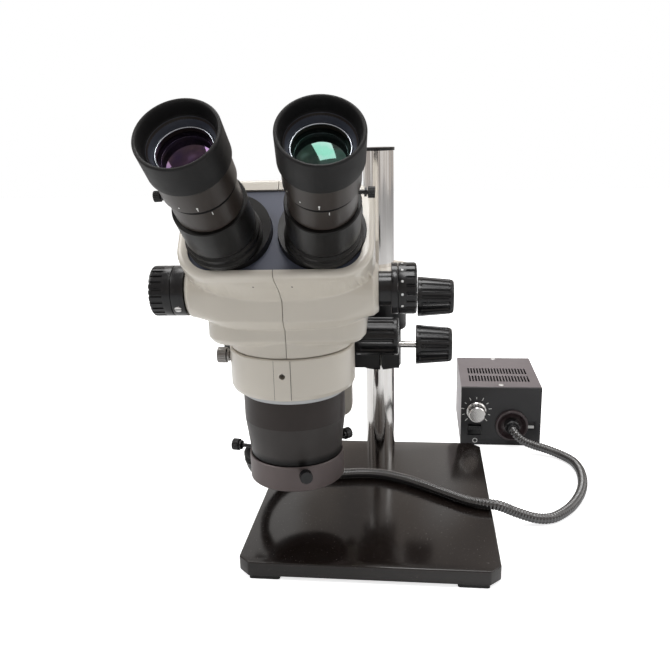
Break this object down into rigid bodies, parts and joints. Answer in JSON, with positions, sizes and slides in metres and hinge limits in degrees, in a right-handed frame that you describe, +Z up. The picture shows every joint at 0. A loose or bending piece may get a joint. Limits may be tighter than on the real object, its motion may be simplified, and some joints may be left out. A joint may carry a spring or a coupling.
{
  "type": "stereo microscope on pole stand",
  "caption": "Stereo zoom microscope on a chromed pole stand with focus rack, binocular head, ring light, fibre light guide and lamp box",
  "frame": {"origin": "the axis of the stand's pole at bench level, the plane the feet rest on", "axes": "+X to the user's right, +Y away from the user, +Z up along the pole; the eyepieces face -Y"},
  "size_m": [0.3271, 0.4227, 0.3226],
  "materials": {
    "base_enamel": "stove-enamelled steel, nearly black brown, faint fine speckle, glossy enough to mirror the pole",
    "foot_rubber": "plain black rubber",
    "pole_chrome": "hard chrome, polished",
    "bolt_steel": "turned steel",
    "black_plastic": "black moulded plastic, satin",
    "nylon": "natural nylon",
    "black_paint": "black fine-textured paint on a casting",
    "shell_paint": "warm light beige-grey, low-gloss paint",
    "rack_brass": "machined brass",
    "frame_aluminium": "as-cast aluminium",
    "panel_plastic": "dark blue-grey, fine texture",
    "bronze_black": "brown-black anodised metal, satin",
    "lens_glass": "coated optical glass, green and pink reflections",
    "cup_rubber": "matte black rubber",
    "ringlight_plastic": "dark grey-brown anodised metal, satin",
    "guide_sheath": "black corrugated plastic sheath over a fibre bundle",
    "box_paint": "dark warm grey powder coat",
    "box_front": "charcoal satin front plate",
    "lamp_metal": "bright reflector"
  },
  "bodies": {
    "stand": {"base_plate": "base_enamel", "base_feet": "foot_rubber", "pole": "pole_chrome", "pole_cap": "black_plastic", "pole_bolt": "bolt_steel", "light_guide": "guide_sheath", "source_chassis": "frame_aluminium", "source_cover": "box_paint", "source_front_panel": "box_front", "guide_plug": "black_plastic", "lamp": "lamp_metal"},
    "collar_liner": {"collar_liner": "nylon"},
    "collar": {"stop_collar": "black_paint"},
    "collar_knob": {"collar_clamp_screw": "bolt_steel", "collar_clamp_knob": "black_plastic"},
    "arm": {"arm_sleeve": "black_paint", "sleeve_top_ring": "shell_paint", "focus_housing": "black_paint", "arm_bolts": "bolt_steel"},
    "arm_knob": {"arm_clamp_screw": "bolt_steel", "arm_clamp_knob": "black_plastic"},
    "focus_pinion": {"pinion_shaft": "bolt_steel", "focus_knobs": "black_plastic"},
    "carriage": {"focus_slide": "shell_paint", "rack": "rack_brass", "head_ring": "shell_paint"},
    "head_clamp": {"head_clamp_screw": "bolt_steel"},
    "head": {"head_frame": "frame_aluminium", "left_cover": "shell_paint", "right_cover": "shell_paint", "top_panel": "panel_plastic", "objective_barrel": "bronze_black", "barrel_cone": "bronze_black", "objective_lenses": "lens_glass", "zoom_flanges": "black_plastic", "ring_light_housing": "ringlight_plastic", "ring_light_window": "lens_glass"},
    "zoom": {"zoom_shaft": "bolt_steel", "zoom_knob_left": "black_plastic", "zoom_knob_right": "black_plastic"},
    "zoom_lenses": {"zoom_carriers": "rack_brass"},
    "tube_left": {"prism_housing_left": "bronze_black", "prism_left": "lens_glass", "eyepiece_left": "bronze_black"},
    "tube_right": {"prism_housing_right": "bronze_black", "prism_right": "lens_glass", "eyepiece_right": "bronze_black"},
    "dioptre_left": {"diopter_ring_left": "bronze_black", "eyecup_left": "cup_rubber", "eye_lens_left": "lens_glass"},
    "dioptre_right": {"diopter_ring_right": "bronze_black", "eyecup_right": "cup_rubber", "eye_lens_right": "lens_glass"},
    "lock_left": {"lock_screw_left": "black_plastic"},
    "lock_right": {"lock_screw_right": "black_plastic"},
    "ring_screw_a": {"ring_screw_front": "black_plastic"},
    "ring_screw_b": {"ring_screw_left": "black_plastic"},
    "ring_screw_c": {"ring_screw_right": "black_plastic"},
    "dial": {"brightness_knob": "bolt_steel"},
    "rocker": {"rocker_switch": "black_plastic"}
  },
  "joints": [
    {"name": "collar_height", "type": "slide", "parent": "stand", "child": "collar_liner", "axis": [0, 0, 1], "range_m": [0, 0.06], "deforming": ["light_guide"]},
    {"name": "stand_swing", "type": "hinge", "parent": "collar_liner", "child": "collar", "pos_m": [0, 0, 0.119], "axis": [0, 0, 1], "range_deg": [-35, 35], "deforming": ["light_guide"]},
    {"name": "collar_knob_turn", "type": "hinge", "parent": "collar", "child": "collar_knob", "pos_m": [0.046, -0.023, 0.1265], "axis": [1, 0, 0], "range_deg": [0, 180]},
    {"name": "arm_lift", "type": "slide", "parent": "collar", "child": "arm", "axis": [0, 0, 1], "range_m": [0, 0.03], "deforming": ["light_guide"]},
    {"name": "arm_knob_turn", "type": "hinge", "parent": "arm", "child": "arm_knob", "pos_m": [0.048, 0, 0.163], "axis": [1, 0, 0], "range_deg": [0, 180]},
    {"name": "focus_travel", "type": "slide", "parent": "arm", "child": "carriage", "axis": [0, 0, 1], "range_m": [-0.011, 0.026], "deforming": ["light_guide"]},
    {"name": "focus_pinion_turn", "type": "hinge", "parent": "arm", "child": "focus_pinion", "pos_m": [-0.017, -0.048, 0.1407], "axis": [1, 0, 0], "range_deg": [-280, 280]},
    {"name": "head_clamp_turn", "type": "hinge", "parent": "carriage", "child": "head_clamp", "pos_m": [-0.1025, -0.118, 0.1452], "axis": [1, 0, 0], "range_deg": [0, 180]},
    {"name": "head_rotation", "type": "hinge", "parent": "carriage", "child": "head", "pos_m": [-0.0575, -0.118, 0.14], "axis": [0, 0, 1], "range_deg": [-40, 40], "deforming": ["light_guide"]},
    {"name": "zoom_turn", "type": "hinge", "parent": "head", "child": "zoom", "pos_m": [-0.05602, -0.15197, 0.202], "axis": [0.999, 0.0436, 0], "range_deg": [0, 160]},
    {"name": "zoom_lens_travel", "type": "slide", "parent": "head", "child": "zoom_lenses", "axis": [0, 0, 1], "range_m": [-0.018, 0]},
    {"name": "eye_distance_left", "type": "hinge", "parent": "head", "child": "tube_left", "pos_m": [-0.0844, -0.1776, 0.24412], "axis": [-0.0284, -0.7495, 0.6614], "range_deg": [-24, 60]},
    {"name": "eye_distance_right", "type": "hinge", "parent": "head", "child": "tube_right", "pos_m": [-0.02551, -0.17502, 0.24412], "axis": [0.0936, -0.7442, 0.6614], "range_deg": [-60, 24]},
    {"name": "dioptre_turn_left", "type": "hinge", "parent": "tube_left", "child": "dioptre_left", "pos_m": [-0.08702, -0.21845, 0.27343], "axis": [-0.0284, -0.7495, 0.6614], "range_deg": [-120, 120]},
    {"name": "dioptre_turn_right", "type": "hinge", "parent": "tube_right", "child": "dioptre_right", "pos_m": [-0.01934, -0.2155, 0.27343], "axis": [0.0936, -0.7442, 0.6614], "range_deg": [-120, 120]},
    {"name": "lock_turn_left", "type": "hinge", "parent": "tube_left", "child": "lock_left", "pos_m": [-0.10292, -0.21617, 0.2708], "axis": [-0.9992, 0.0021, -0.0405], "range_deg": [0, 180]},
    {"name": "lock_turn_right", "type": "hinge", "parent": "tube_right", "child": "lock_right", "pos_m": [-0.0037, -0.21184, 0.2708], "axis": [0.9952, 0.0892, -0.0405], "range_deg": [0, 180]},
    {"name": "ring_screw_turn_a", "type": "hinge", "parent": "head", "child": "ring_screw_a", "pos_m": [-0.04667, -0.15233, 0.0683], "axis": [0.3007, -0.9537, 0], "range_deg": [0, 180]},
    {"name": "ring_screw_turn_b", "type": "hinge", "parent": "head", "child": "ring_screw_b", "pos_m": [-0.09265, -0.11021, 0.0683], "axis": [-0.9763, 0.2164, 0], "range_deg": [0, 180]},
    {"name": "ring_screw_turn_c", "type": "hinge", "parent": "head", "child": "ring_screw_c", "pos_m": [-0.03318, -0.09146, 0.0683], "axis": [0.6756, 0.7373, 0], "range_deg": [0, 180]},
    {"name": "brightness_turn", "type": "hinge", "parent": "stand", "child": "dial", "pos_m": [0.0904, 0.05, 0.0363], "axis": [0, -1, 0], "range_deg": [0, 270]},
    {"name": "rocker_tilt", "type": "hinge", "parent": "stand", "child": "rocker", "pos_m": [0.0891, 0.0638, 0.0164], "axis": [1, 0, 0], "range_deg": [0, 6]}
  ],
  "couplings": [
    {"joint": "focus_pinion_turn", "follows": "focus_travel", "rad_per_m": -178.57},
    {"joint": "zoom_lens_travel", "follows": "zoom_turn", "m_per_rad": -0.0064},
    {"joint": "eye_distance_left", "follows": "eye_distance_right", "ratio": -1}
  ]
}
